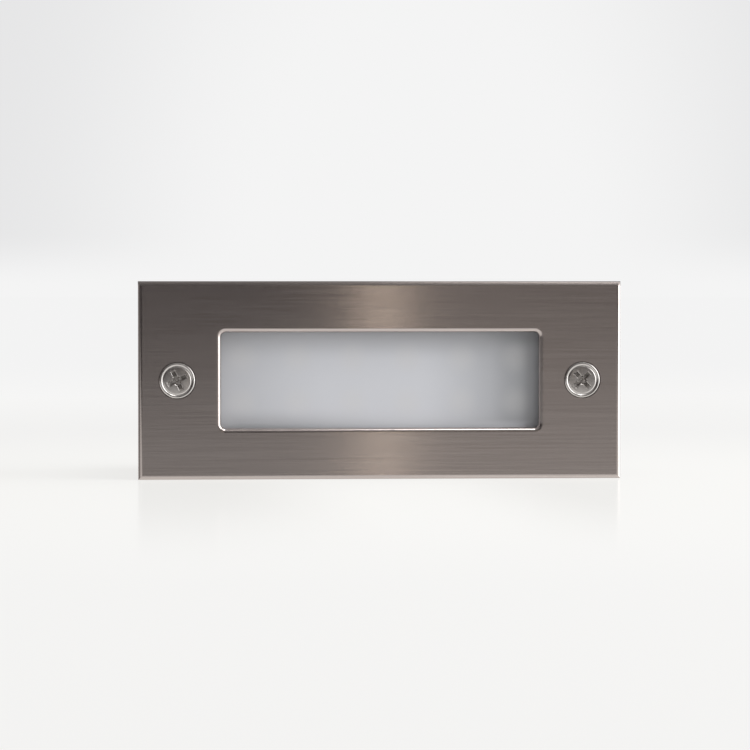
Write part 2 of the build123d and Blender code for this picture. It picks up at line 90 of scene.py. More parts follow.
class Finish:
    """One material, with its nodes added in the order that the finish is described."""

    def __init__(self, name):
        self.material = bpy.data.materials.new(name)
        self.material.use_nodes = True
        self.tree = self.material.node_tree
        self.tree.nodes.clear()
        self.place = self.add("TexCoord", {}, {}, "Object")

    def add(self, kind, settings, values, output=0):
        node = self.tree.nodes.new("ShaderNode" + kind)
        for key, value in settings.items():
            setattr(node, key, value)
        for key, value in values.items():
            if isinstance(value, Signal):
                self.tree.links.new(value.socket, node.inputs[key])
            else:
                node.inputs[key].default_value = value
        return Signal(self, node.outputs[output]) if node.outputs else None

    def scaled(self, x, y, z):
        return self.add("Mapping", {}, {"Vector": self.place, "Scale": (x, y, z)})

    def noise(self, scale, detail=2.0, rough=0.5, where=None):
        values = {"Scale": scale, "Detail": detail, "Roughness": rough}
        return self.add("TexNoise", {}, {"Vector": where or self.place, **values})

    def cells(self, scale):
        return self.add("TexVoronoi", {}, {"Vector": self.place, "Scale": scale}, "Distance")

    def step(self, value, low, high, out_low=0.0, out_high=1.0):
        """A smooth change from out_low to out_high as the value goes from low to high."""
        values = {"Value": value, 1: low, 2: high, 3: out_low, 4: out_high}
        return self.add("MapRange", {"interpolation_type": "SMOOTHSTEP"}, values)

    def mix(self, factor, first, second):
        colours = [c if isinstance(c, Signal) else (*c, 1.0) for c in (first, second)]
        settings = {"data_type": "RGBA", "clamp_factor": True}
        return self.add("Mix", settings, {0: factor, 6: colours[0], 7: colours[1]}, 2)

    def axes(self):
        parts = self.add("SeparateXYZ", {}, {0: self.place})
        return [Signal(self, socket) for socket in parts.socket.node.outputs]

    def bump(self, height, distance, strength):
        values = {"Height": height, "Distance": distance, "Strength": strength}
        return self.add("Bump", {}, values)

    def edges(self, reach, gain):
        """0 on open faces, and more where the surface turns a corner within reach."""
        rounded = self.add("Bevel", {"samples": 4}, {"Radius": reach})
        flat = self.add("NewGeometry", {}, {}, "Normal")
        same = self.add("VectorMath", {"operation": "DOT_PRODUCT"}, {0: rounded, 1: flat}, "Value")
        return (1 - same) * gain

    def surface(self, **values):
        """Ends the finish in a shader; its sockets are named with _ for each space."""
        named = {key.replace("_", " "): value for key, value in values.items()}
        shader = self.add("BsdfPrincipled", {}, named)
        self.add("OutputMaterial", {}, {"Surface": shader})


def clear():
    """Goes back to object mode with nothing selected."""
    if bpy.context.object and bpy.context.object.mode != "OBJECT":
        bpy.ops.object.mode_set(mode="OBJECT")
    bpy.ops.object.select_all(action="DESELECT")


def alone(piece):
    """Selects one piece and nothing else, in object mode."""
    clear()
    piece.select_set(True)
    bpy.context.view_layer.objects.active = piece


def pick(piece, kind, test):
    """Selects, in edit mode, the VERTs, EDGEs or FACEs of a piece that pass the test."""
    alone(piece)
    bpy.ops.object.mode_set(mode="EDIT")
    bpy.ops.mesh.select_mode(type=kind)
    bpy.ops.mesh.select_all(action="DESELECT")
    mesh = bmesh.from_edit_mesh(piece.data)
    elements = {"VERT": mesh.verts, "EDGE": mesh.edges, "FACE": mesh.faces}[kind]
    for element in [e for e in elements if test(e)]:
        element.select_set(True)
    mesh.select_flush_mode()
    bmesh.update_edit_mesh(piece.data)


def worked(piece, kind, **settings):
    """Adds a modifier and applies it."""
    alone(piece)
    modifier = piece.modifiers.new(kind, kind)
    for key, value in settings.items():
        setattr(modifier, key, value)
    bpy.ops.object.modifier_apply(modifier=modifier.name)
    return piece


def eased(piece, width, segments=2, angle=35.0):
    """Rounds every corner sharper than the angle."""
    return worked(
        piece,
        "BEVEL",
        width=width * mm,
        segments=segments,
        limit_method="ANGLE",
        angle_limit=math.radians(angle),
        miter_outer="MITER_ARC",
        use_clamp_overlap=True,
    )


def cast_from(node, width, segments=2, angle=35.0):
    """A merged copy of a CAD piece, with its corners rounded as the real piece's are."""
    piece = nodes[node].copy()
    piece.data = nodes[node].data.copy()
    for key in list(piece.keys()):
        if key.startswith("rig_"):
            del piece[key]
    piece.parent = None
    bpy.context.scene.collection.objects.link(piece)
    pick(piece, "VERT", lambda vert: True)
    bpy.ops.mesh.remove_doubles(threshold=same_place)
    bpy.ops.mesh.dissolve_limited(angle_limit=math.radians(0.5))
    return eased(piece, width, segments, angle)


def fitted(piece, name, body, finish, stands_for=None, sharp=35.0):
    """Names a finished piece, gives it its finish and fixes it to its body."""
    alone(piece)
    piece.name = piece.data.name = name
    piece.data.materials.clear()
    piece.data.materials.append(finish.material)
    bpy.ops.object.transform_apply(location=True, rotation=True, scale=True)
    bpy.ops.object.shade_smooth_by_angle(angle=math.radians(sharp))
    worked(piece, "WEIGHTED_NORMAL", keep_sharp=True)
    if stands_for:
        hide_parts(stands_for)
    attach(piece, body)


def painted(node, finish):
    """Gives a CAD piece its finish."""
    for slot in nodes[node].material_slots:
        slot.material = finish.material


moulded = Finish("moulded_nylon")
grain = moulded.noise(2600.0, 3.0, 0.6)
flow = moulded.noise(28.0, 4.0, 0.55)
scuff = moulded.edges(0.7 * mm, 2.2) * moulded.step(moulded.noise(240.0, 3.0), 0.42, 0.6)
dust = moulded.step(moulded.noise(90.0, 5.0, 0.7), 0.5, 0.75)
shade = moulded.mix(flow, (0.026, 0.027, 0.029), (0.042, 0.043, 0.045))
shade = moulded.mix(dust * 0.25, shade, (0.085, 0.082, 0.078))
shade = moulded.mix(scuff * 0.5, shade, (0.16, 0.16, 0.155))
moulded.surface(
    Base_Color=shade,
    Roughness=0.42 + grain * 0.22 + scuff * 0.1,
    Normal=moulded.bump(grain, 0.05 * mm, 0.55),
)
box = cast_from("recess_box", 0.45, 3)
fitted(box, "wall_box", "recess_box", moulded, "recess_box")

# ---- Threaded inserts ------------------------------------------------------------------------
# Two brass M4 inserts, turned with a thread inside and three grooves outside, pressed hot into the
# bosses of the box so that the nylon flows into the grooves. The brass is a little tarnished.


def path(points):
    """A line through places (radius, place along Y) in mm, drawn one vertex after another."""
    clear()
    start = (points[0][0] * mm, points[0][1] * mm, 0.0)
    bpy.ops.mesh.primitive_plane_add(size=mm, location=start)
    piece = bpy.context.object
    bpy.ops.object.transform_apply(location=True, rotation=True, scale=True)
    bpy.ops.object.mode_set(mode="EDIT")
    bpy.ops.mesh.select_mode(type="VERT")
    bpy.ops.mesh.select_all(action="SELECT")
    bpy.ops.mesh.merge(type="CENTER")
    for here, there in zip(points, points[1:]):
        move = ((there[0] - here[0]) * mm, (there[1] - here[1]) * mm, 0.0)
        bpy.ops.mesh.extrude_region_move(TRANSFORM_OT_translate={"value": move})
    bpy.ops.object.mode_set(mode="OBJECT")
    return piece


def closed_up(piece):
    """Merges what a spin or screw leaves double, and turns every face outwards."""
    pick(piece, "VERT", lambda vert: True)
    bpy.ops.mesh.remove_doubles(threshold=same_place)
    bpy.ops.mesh.normals_make_consistent(inside=False)
    bpy.ops.object.mode_set(mode="OBJECT")
    return piece


def moved(piece, x=0.0, y=0.0, z=0.0):
    """Shifts a piece, in mm, with the shift in its mesh."""
    alone(piece)
    piece.location = (x * mm, y * mm, z * mm)
    bpy.ops.object.transform_apply(location=True, rotation=True, scale=True)
    return piece


def turned(points, x=0.0, steps=64, ring=False):
    """A piece turned about an axis along Y from its section; a ring's section closes on itself."""
    piece = path([*points, points[0]] if ring else points)
    pick(piece, "VERT", lambda vert: True)
    bpy.ops.mesh.spin(steps=steps, angle=2 * math.pi, center=(0, 0, 0), axis=(0, 1, 0))
    return moved(closed_up(piece), x)


def again(piece, x, z=0.0):
    """A copy with its own mesh, shifted in mm."""
    copy = piece.copy()
    copy.data = piece.data.copy()
    bpy.context.scene.collection.objects.link(copy)
    return moved(copy, x, 0.0, z)


brass = Finish("brass")
tarnish = brass.noise(420.0, 5.0, 0.6)
turning = brass.noise(1.0, 1.0, 0.5, brass.scaled(900.0, 9000.0, 900.0))
brass.surface(
    Base_Color=brass.mix(tarnish, (0.42, 0.27, 0.10), (0.78, 0.58, 0.27)),
    Metallic=1.0,
    Roughness=0.2 + tarnish * 0.25,
    Normal=brass.bump(turning, 0.01 * mm, 0.5),
)
screw_x = 46.15
screw_pitch = 0.7
insert_front, insert_back = 8.9, 16.9
insert_radius, insert_bore, insert_waist = 2.8, 2.05, 2.6
insert_turns = 11
insert_section = [(insert_radius, insert_front), (insert_bore, insert_front)]
for i in range(insert_turns):
    thread_start = insert_front + screw_pitch * i
    insert_section += [(insert_bore + 0.07, thread_start + 0.25), (insert_bore, thread_start + 0.6)]
insert_section += [(insert_bore, insert_back), (insert_radius, insert_back)]
for groove in (14.6, 12.2, 9.8):
    insert_section += [(insert_radius, groove + 0.9), (insert_waist, groove + 0.7)]
    insert_section += [(insert_waist, groove + 0.2), (insert_radius, groove)]
insert = eased(turned(insert_section, -screw_x, steps=48, ring=True), 0.05, 1, 50.0)
fitted(insert, "insert_left", "recess_box", brass, "threaded_inserts")
other = again(insert, 2 * screw_x)
fitted(other, "insert_right", "recess_box", brass, "threaded_inserts")

# ---- Entry grommet and blank plug ------------------------------------------------------------
# Two rubber mouldings buttoned into the back of the box: the grommet lets the supply cable in,
# and the plug closes the second entry. Both have the same two lips, which hold the wall between
# them. Soft black rubber with a dusty bloom.

rubber = Finish("black_rubber")
skin = rubber.noise(3800.0, 2.0, 0.5)
bloom = rubber.step(rubber.noise(300.0, 4.0, 0.65), 0.45, 0.8)
rubber.surface(
    Base_Color=rubber.mix(bloom * 0.6, (0.012, 0.012, 0.012), (0.05, 0.05, 0.048)),
    Roughness=0.5 + bloom * 0.3,
    Normal=rubber.bump(skin, 0.02 * mm, 0.4),
    Specular_IOR_Level=0.4,
)
button = [
    (6.4, 46.3), (7.5, 47.0), (7.5, 47.5), (5.95, 47.5),
    (5.95, 50.0), (7.5, 50.0), (7.5, 50.6), (6.9, 51.2),
]
grommet_section = [
    (3.25, 46.3), *button, (4.9, 51.2), (4.6, 50.9), (4.1, 50.9), (3.8, 51.2), (3.25, 51.2),
    (3.25, 49.9), (3.6, 49.6), (3.6, 49.0), (3.25, 48.7),
]
grommet = eased(turned(grommet_section, ring=True), 0.16, 3, 25.0)
fitted(grommet, "rear_grommet", "recess_box", rubber, "entry_grommet", sharp=50.0)
plug_x = -24.0
plug_section = [
    (0.0, 46.3), *button, (6.0, 51.2), (5.5, 51.7), (4.4, 51.7), (4.2, 51.4), (3.4, 51.4),
    (3.2, 51.7), (0.0, 51.7),
]
plug = eased(turned(plug_section, plug_x), 0.14, 3, 25.0)
fitted(plug, "entry_plug", "recess_box", rubber, "blank_plug", sharp=50.0)

# ---- Wall gasket -----------------------------------------------------------------------------
# A die-cut ring of closed-cell foam between the faceplate and the wall, grey and matt, with fine
# cells all over it.

foam = Finish("grey_foam")
cell = foam.cells(2400.0)
pressed = foam.noise(160.0, 3.0)
foam.surface(
    Base_Color=foam.mix(cell, (0.05, 0.051, 0.055), (0.13, 0.132, 0.137)),
    Roughness=0.82 + pressed * 0.12,
    Normal=foam.bump(cell, 0.12 * mm, 0.8),
    Specular_IOR_Level=0.3,
)
gasket = cast_from("wall_gasket", 0.3, 3)
fitted(gasket, "foam_gasket", "light_unit", foam, "wall_gasket")

# ---- Faceplate -------------------------------------------------------------------------------
# 2.5 mm stainless sheet, laser cut, its front edges and window edges rounded over and its face
# brushed lengthways. Two countersinks take the heads of the face screws.


def cut(piece, tool):
    """Cuts one piece with another and throws the tool away."""
    worked(piece, "BOOLEAN", object=tool, operation="DIFFERENCE", solver="EXACT")
    bpy.data.objects.remove(tool)


def trimmed(piece, tool):
    """Keeps what two pieces have in common."""
    worked(piece, "BOOLEAN", object=tool, operation="INTERSECT", solver="EXACT")
    bpy.data.objects.remove(tool)
    return piece


def upright(edge):
    """An edge that runs along Y."""
    return abs(edge.verts[0].co.y - edge.verts[1].co.y) > mm


def at_window_corner(edge):
    """An edge that runs along Y at one of the window's corners."""
    return upright(edge) and abs(abs(edge.verts[0].co.x) - window_size[0] / 2 * mm) < mm


def slanting(edge):
    """An edge that runs from a corner of the plate to a corner of the window."""
    first, second = edge.verts
    return abs(first.co.x - second.co.x) > mm and abs(first.co.z - second.co.z) > mm


def on_front_rim(edge):
    """An edge where the plate's face meets its sides or the window's."""
    in_front = all(abs(vert.co.y - plate_front * mm) < 0.01 * mm for vert in edge.verts)
    return in_front and any(abs(face.normal.y) < 0.5 for face in edge.link_faces)


plate_front, plate_back = -4.0, -1.5
plate_size = (110.0, 45.0)
window_size = (72.4, 21.7)
first_inset = 5.0
edge_radius, edge_steps = 1.0, 8
clear()
bpy.ops.mesh.primitive_plane_add(
    size=mm,
    rotation=(math.pi / 2, 0, 0),
    location=(0, plate_back * mm, 0),
)
plate = bpy.context.object
plate.scale = (plate_size[0], plate_size[1], 1)
bpy.ops.object.transform_apply(location=True, rotation=True, scale=True)
pick(plate, "FACE", lambda face: True)
bpy.ops.mesh.inset(thickness=first_inset * mm)
to_window = [window_size[i] / (plate_size[i] - 2 * first_inset) for i in (0, 1)]
bpy.ops.transform.resize(value=(to_window[0], 1, to_window[1]), center_override=(0, 0, 0))
bpy.ops.mesh.delete(type="ONLY_FACE")
pick(plate, "FACE", lambda face: True)
bpy.ops.mesh.bisect(plane_co=(0, 0, 0), plane_no=(1, 0, 0))
pick(plate, "EDGE", slanting)
bpy.ops.mesh.dissolve_edges(use_verts=False)
pick(plate, "FACE", lambda face: True)
thickness = (0, (plate_front - plate_back) * mm, 0)
bpy.ops.mesh.extrude_region_move(TRANSFORM_OT_translate={"value": thickness})
closed_up(plate)
pick(plate, "EDGE", at_window_corner)
bpy.ops.mesh.bevel(offset=edge_radius * mm, segments=edge_steps, affect="EDGES")
pick(plate, "EDGE", on_front_rim)
bpy.ops.mesh.bevel(offset=edge_radius * mm, segments=edge_steps, affect="EDGES")
# Each countersink has a straight mouth, a cone and a hole for the screw's shank.
sink_section = [
    (0.0, -4.2), (4.19, -4.2), (4.19, -3.68), (2.32, -2.15),
    (2.25, -2.05), (2.25, -1.2), (0.0, -1.2),
]
for side in (-1, 1):
    cut(plate, turned(sink_section, side * screw_x, steps=72))

# The brush strokes are noise drawn out along X, in two sizes, with broader streaks and a cloudy
# tone over them. The anisotropic shader spreads a reflection across the strokes, so that a light
# shows as an upright streak. The rounded top edge is duller, and painted shade darkens its colour.
brushed = Finish("brushed_stainless")
fine = brushed.noise(1.0, 2.0, 0.6, brushed.scaled(70.0, 5200.0, 5200.0))
coarse = brushed.noise(1.0, 2.0, 0.5, brushed.scaled(34.0, 2300.0, 2300.0))
cloud = brushed.noise(30.0, 3.0, 0.5)
stroke = brushed.step(fine * 0.5 + coarse * 0.5, 0.33, 0.67)
streaks = brushed.noise(1.0, 3.0, 0.6, brushed.scaled(9.0, 900.0, 900.0))
tint = brushed.mix(stroke, (0.52, 0.46, 0.435), (0.58, 0.515, 0.49))
tint = brushed.mix(brushed.step(streaks, 0.35, 0.7) * 0.3, tint, (0.60, 0.545, 0.52))
tint = brushed.mix(cloud * 0.3, tint, (0.52, 0.47, 0.45))
_, _, up = brushed.axes()
# Painted shade: the colour of the rounded top edge is darkened.
shaded_top_edge = brushed.step(up, 21.4 * mm, 21.9 * mm)
brushed.surface(
    Base_Color=brushed.mix(shaded_top_edge * 0.75, tint, (0.16, 0.14, 0.13)),
    Metallic=1.0,
    Roughness=0.127 + stroke * 0.012 + cloud * 0.02 + shaded_top_edge * 0.25,
    Anisotropic=0.9,
    Anisotropic_Rotation=0.25,
    Normal=brushed.bump(stroke, 0.005 * mm, 0.4),
)
fitted(plate, "front_plate", "light_unit", brushed, "faceplate", sharp=30.0)

# ---- Weld studs, washers and nuts ------------------------------------------------------------
# Four M3 studs are capacitor-welded to the back of the plate. A washer and a nut on each pull
# the lamp tray against the plate. All are zinc-plated and a little yellow in places.


def threaded(crest, pitch, front, back, tip=0.3, steps=28):
    """A rod with a real helical thread along Y, chamfered at its back end."""
    root = crest - 0.6 * pitch
    one_turn = [(root, 0.0), (root, 0.25), (crest, 0.5625), (crest, 0.6875), (root, 1.0)]
    rod = path([(radius, front - 2 * pitch + along * pitch) for radius, along in one_turn])
    turns = math.ceil((back - front) / pitch) + 4
    worked(
        rod,
        "SCREW",
        axis="Y",
        angle=2 * math.pi,
        screw_offset=pitch * mm,
        iterations=turns,
        steps=steps,
        render_steps=steps,
        use_merge_vertices=True,
        merge_threshold=same_place,
    )
    closed_up(rod)
    middle = (front + back) / 2 * mm
    for end in (-1, 1):
        pick(rod, "EDGE", lambda edge: edge.is_boundary and (edge.verts[0].co.y - middle) * end > 0)
        bpy.ops.mesh.edge_face_add()
    closed_up(rod)
    wide = crest + 1.0
    ends = [(0.0, front), (wide, front), (wide, back - tip - 1.0), (crest - tip, back), (0.0, back)]
    return trimmed(rod, turned(ends, steps=steps))


def hexagonal(flats, front, back, bore=0.0, corner=0.12, section=None):
    """A hexagon bar along Y, turned to a section at its ends and bored with a lead-in."""
    reach = flats / 2 / math.cos(math.pi / 6)
    clear()
    bpy.ops.mesh.primitive_cylinder_add(
        vertices=6,
        radius=reach * mm,
        depth=(back - front + 1.0) * mm,
        rotation=(math.pi / 2, 0, 0),
        location=(0, (front + back) / 2 * mm, 0),
    )
    nut = bpy.context.object
    bpy.ops.object.transform_apply(location=True, rotation=True, scale=True)
    pick(nut, "EDGE", upright)
    bpy.ops.mesh.bevel(offset=corner * mm, segments=3, affect="EDGES")
    # Both ends are turned to a little under the width across flats, at about 27 degrees.
    inner = flats / 2 * 0.965
    drop = (reach - inner) * 0.5
    ends = [(0.0, front), (inner, front), (reach, front + drop)]
    ends += [(reach, back - drop), (inner, back), (0.0, back)]
    trimmed(nut, turned(section or ends, steps=72))
    if bore:
        lead = 0.1 * bore
        wide = bore + lead
        hole = [(0.0, front - 1.0), (wide, front - 1.0), (wide, front), (bore, front + lead)]
        hole += [(bore, back - lead), (wide, back), (wide, back + 1.0), (0.0, back + 1.0)]
        cut(nut, turned(hole, steps=64))
    return nut


plated = Finish("zinc_plated_steel")
patch = plated.noise(180.0, 4.0, 0.6)
spangle = plated.cells(1500.0)
plated.surface(
    Base_Color=plated.mix(patch, (0.50, 0.51, 0.53), (0.64, 0.62, 0.55)),
    Metallic=1.0,
    Roughness=0.24 + spangle * 0.16,
    Normal=plated.bump(plated.noise(2200.0, 2.0), 0.01 * mm, 0.5),
)
stud_places = [(x, z) for x in (-45.1, 45.1) for z in (-10.85, 10.85)]
stud = threaded(1.5, 0.5, -1.5, 4.9)
washer_section = [(1.6, 1.0), (3.2, 1.0), (3.2, 1.5), (1.6, 1.5)]
washer = eased(turned(washer_section, steps=48, ring=True), 0.08)
nut = hexagonal(5.5, 1.5, 3.9, bore=1.53, corner=0.08)
stud_parts = (
    (stud, "weld_stud", "weld_studs"),
    (washer, "stud_washer", "stud_washers"),
    (nut, "stud_nut", "stud_nuts"),
)
for i, (x, z) in enumerate(stud_places, 1):
    for piece, name, node in stud_parts:
        copy = again(piece, x, z)
        fitted(copy, f"{name}_{i}", "light_unit", plated, node)
for piece, _, _ in stud_parts:
    bpy.data.objects.remove(piece)

# ---- Face screws -----------------------------------------------------------------------------
# Two M4 x 20 countersunk screws with cross recesses, stainless, cold-headed and thread-rolled.
# A narrow groove divides each head's flat face from its raised rim, and tumbling has left both
# bright.


def recess(top, span, width, depth, point, angle, lip=0.05, taper=0.42):
    """The two tapered wings and the pointed core of a cross recess, as cutting tools.

    The mouth is flared over the depth of the lip, and the tools stand proud of the face.
    """
    proud = 0.2
    narrowing, core_narrowing, core_tip = 0.72, 0.42, 0.7
    flare = 2 * lip + 2 * proud
    tools = []
    for turn in (0, 90):
        clear()
        middle = top + lip / 2 - proud / 2
        bpy.ops.mesh.primitive_cube_add(size=mm, location=(0, middle * mm, 0))
        wing = bpy.context.object
        wing.scale = (span + flare, lip + proud, width + flare)
        bpy.ops.object.transform_apply(location=True, rotation=True, scale=True)
        pick(wing, "FACE", lambda face: face.normal.y > 0.99)
        mouth = (span / (span + flare), 1, width / (width + flare))
        bpy.ops.transform.resize(value=mouth, center_override=(0, (top + lip) * mm, 0))
        deeper = {"value": (0, (depth - lip) * mm, 0)}
        bpy.ops.mesh.extrude_region_move(TRANSFORM_OT_translate=deeper)
        end = (taper, 1, narrowing)
        bpy.ops.transform.resize(value=end, center_override=(0, (top + depth) * mm, 0))
        alone(wing)
        wing.rotation_euler = (0, -math.radians(angle + turn), 0)
        bpy.ops.object.transform_apply(location=True, rotation=True, scale=True)
        tools.append(wing)
    core = [(0.0, top - proud), (point + lip + proud, top - proud), (point, top + lip)]
    core += [(point * core_narrowing, top + depth), (0.0, top + depth + core_tip)]
    tools.append(turned(core, steps=32))
    return tools


# Turning rings run round each screw's axis. Painted shade darkens the inside of the recess, which
# is also duller, except at the bottom of its core.
bright = Finish("screw_steel")
x, y, z = bright.axes()
across = abs(x) - screw_x * mm
from_axis = (across * across + z * z).maths("SQRT")
recess_shade = bright.step(y, -3.75 * mm, -3.4 * mm) * bright.step(from_axis, 2.6 * mm, 2.8 * mm, 1.0, 0.0)
recess_shade = recess_shade * bright.step(from_axis, 0.6 * mm, 1.4 * mm, 0.1, 1.0)
bright_patch = bright.noise(900.0, 3.0, 0.6)
round_axis = bright.add("CombineXYZ", {}, {0: from_axis * 9000.0, 1: y * 400.0})
rings = bright.noise(1.0, 1.0, 0.5, round_axis)
shade = bright.mix(bright_patch, (0.52, 0.49, 0.47), (0.66, 0.635, 0.615))
bright.surface(
    Base_Color=bright.mix(recess_shade * 0.4, shade, (0.1, 0.095, 0.09)),
    Metallic=1.0,
    Roughness=0.19 + bright_patch * 0.1 + recess_shade * 0.15,
    Normal=bright.bump(rings * 0.5 + bright_patch * 0.2, 0.006 * mm, 0.4),
)
head_face = -3.93
groove_and_rim = [
    (3.0, -3.92), (3.17, -3.83), (3.22, -3.82), (3.3, -3.82), (3.35, -3.83), (3.51, -3.95),
    (3.58, -3.98), (3.76, -3.995), (3.82, -3.98), (4.02, -3.865), (4.07, -3.8), (4.08, -3.7),
]
cone = [(2.0, -1.95), (1.7, -1.65), (1.7, -1.1), (0.0, -1.1)]
head_section = [(0.0, head_face), (2.92, head_face), *groove_and_rim, *cone]
cross = {"span": 4.4, "width": 0.85, "depth": 1.5, "point": 0.95, "lip": 0.17, "taper": 0.5}
for name, x, angle in (("left", -screw_x, 25.0), ("right", screw_x, 42.0)):
    head = turned(head_section, steps=72)
    for tool in recess(head_face, angle=angle, **cross):
        cut(head, tool)
    thread = threaded(2.0, screw_pitch, -1.5, 16.3, tip=0.5)
    alone(thread)
    head.select_set(True)
    bpy.context.view_layer.objects.active = head
    bpy.ops.object.join()
    moved(head, x)
    node = f"{name}_screw"
    fitted(head, f"{name}_face_screw", node, bright, node, sharp=20.0)

# ---- Retaining rings -------------------------------------------------------------------------
# Nylon rings snapped on the shanks behind the plate, so that undone screws stay with it. They
# are natural nylon, slightly yellow and milky.

milky = Finish("natural_nylon")
haze = milky.noise(350.0, 4.0, 0.6)
milky.surface(
    Base_Color=milky.mix(haze, (0.66, 0.63, 0.54), (0.78, 0.76, 0.69)),
    Roughness=0.34 + haze * 0.15,
    Subsurface_Weight=0.25,
    Subsurface_Scale=0.6 * mm,
    Normal=milky.bump(milky.noise(1800.0, 2.0), 0.01 * mm, 0.5),
)
ring_section = [(2.05, 7.0), (3.5, 7.0), (3.7, 7.2), (3.7, 8.0), (3.5, 8.2), (2.05, 8.2)]
for name, x in (("left", -screw_x), ("right", screw_x)):
    ring = eased(turned(ring_section, x, steps=56, ring=True), 0.08)
    body, node = f"{name}_screw_carrier", f"{name}_retaining_ring"
    fitted(ring, f"{name}_keeper_ring", body, milky, node)

# ---- Lens and its gaskets --------------------------------------------------------------------
# A 3 mm sheet of opal acrylic, etched on its front, clamped between two die-cut silicone frames.
# The twelve LEDs behind it show through as faint warm spots. Painted shade greys it towards the
# edges of the window, most of all at the right, where the plate's edge shades it.

led_pitch, led_row = 12.5, 5.0
half_width, half_height = window_size[0] / 2, window_size[1] / 2
opal = Finish("frosted_acrylic")
across, _, up = opal.axes()
column = abs((across / (led_pitch * mm) + 100.0).maths("FRACT") - 0.5) * (led_pitch * mm)
row = abs(abs(up) - led_row * mm)
away = (column * column + row * row).maths("SQRT")
spot = opal.step(away, 0.6 * mm, 4.6 * mm, 1.0, 0.0)
etch = opal.noise(5200.0, 2.0, 0.6)
veil = opal.noise(45.0, 3.0, 0.5)
milk = opal.mix(veil, (0.75, 0.765, 0.81), (0.795, 0.81, 0.85))

# This mask is 1 where the sheet is palest, and falls towards 0 near the edges of the window,
# where shade is painted on it.
clear_of_left_shade = opal.step(across, -60.0 * mm, -10.0 * mm)
clear_of_right_shade = opal.step(half_width * mm - across, -4.0 * mm, 17.0 * mm)
clear_of_top_shade = opal.step(half_height * mm - up, -9.0 * mm, 5.0 * mm)
right_shade = opal.step(across, 8.0 * mm, 27.0 * mm, 1.0, 0.45)
right_end_shade = opal.step(across, 25.0 * mm, 30.0 * mm, 1.0, 0.4)
painted_lightness = clear_of_left_shade * clear_of_right_shade * clear_of_top_shade * right_shade * right_end_shade
# Painted shade along the top, deeper towards the right, and along the bottom on the left.
top_shade_band = opal.step(up, 4.0 * mm, 10.8 * mm, 0.0, 0.5)
painted_lightness = painted_lightness * (1 - top_shade_band * opal.step(across, -30.0 * mm, 24.0 * mm, 0.9, 1.3))
low_shade_band = opal.step(up, -11.5 * mm, -6.0 * mm, 0.75, 0.0)
painted_lightness = painted_lightness * (1 - low_shade_band * opal.step(across, -36.0 * mm, 8.0 * mm, 1.0, 0.0))
# A painted highlight lifts the strip along the bottom on the right back towards the palest tone.
painted_lift = opal.step(up, -10.8 * mm, -8.8 * mm, 1.0, 0.0)
painted_lift = painted_lift * opal.step(across, 10.0 * mm, 30.0 * mm)
painted_lightness = 1 - (1 - painted_lightness) * (1 - painted_lift * 0.7)
# The painted shade greys the milk, and a deeper painted shade darkens its top right corner.
milk = opal.mix(painted_lightness, (0.42, 0.43, 0.45), milk)
top_corner_shade = opal.step(across, 20.0 * mm, 36.0 * mm) * opal.step(up, 6.5 * mm, 10.2 * mm)
milk = opal.mix(top_corner_shade * 0.48, milk, (0.15, 0.153, 0.16))
opal.surface(
    Base_Color=opal.mix(spot * 0.2, milk, (0.80, 0.785, 0.76)),
    Roughness=0.44 + etch * 0.08,
    Normal=opal.bump(etch, 0.006 * mm, 0.35),
    Specular_IOR_Level=0.35,
)
lens = cast_from("diffuser_lens", 0.15, 2)
fitted(lens, "opal_lens", "light_unit", opal, "diffuser_lens")

silicone = Finish("clear_silicone")
cloudy = silicone.noise(260.0, 3.0)
silicone.surface(
    Base_Color=silicone.mix(cloudy, (0.60, 0.61, 0.61), (0.72, 0.73, 0.73)),
    Roughness=0.38 + cloudy * 0.12,
    Subsurface_Weight=0.3,
    Subsurface_Scale=0.8 * mm,
    Normal=silicone.bump(silicone.noise(1500.0, 2.0), 0.01 * mm, 0.4),
)
for end in ("front", "rear"):
    node = f"lens_{end}_gasket"
    seal = cast_from(node, 0.12, 2)
    fitted(seal, f"lens_seal_{end}", "light_unit", silicone, node)

# ---- Lamp tray -------------------------------------------------------------------------------
# Die-cast aluminium: the light chamber in front, the driver chamber behind, and two ears that
# the nuts clamp. The casting skin is grey and grainy, and its corners are rubbed bright.

casting = Finish("cast_aluminium")
skin = casting.noise(1500.0, 4.0, 0.65)
swirl = casting.noise(60.0, 5.0, 0.6)
rubbed = casting.edges(0.6 * mm, 2.5)
shade = casting.mix(swirl, (0.42, 0.43, 0.44), (0.56, 0.565, 0.57))
casting.surface(
    Base_Color=casting.mix(rubbed, shade, (0.70, 0.705, 0.71)),
    Metallic=1.0,
    Roughness=0.5 + skin * 0.14 - rubbed * 0.12,
    Normal=casting.bump(skin, 0.06 * mm, 0.5),
)
tray = cast_from("lamp_tray", 0.3, 2)
fitted(tray, "cast_tray", "light_unit", casting, "lamp_tray")

# ---- Reflector -------------------------------------------------------------------------------
# A white polycarbonate moulding that stands on the LED board, with a round opening over each LED
# and over each screw. Glossy, with faint flow lines from its gate.

gloss = Finish("white_plastic")
knit = gloss.noise(1.0, 3.0, 0.5, gloss.scaled(40.0, 200.0, 240.0))
gloss.surface(
    Base_Color=gloss.mix(knit, (0.76, 0.76, 0.745), (0.84, 0.84, 0.83)),
    Roughness=0.25 + knit * 0.12,
    Normal=gloss.bump(knit, 0.01 * mm, 0.4),
)
reflector = cast_from("reflector", 0.18, 2)
fitted(reflector, "white_reflector", "light_unit", gloss, "reflector")

# ---- LED board -------------------------------------------------------------------------------
# An aluminium-cored board under white solder mask. Broad copper tracks under the mask join the
# LEDs in strings, and stand up a little.


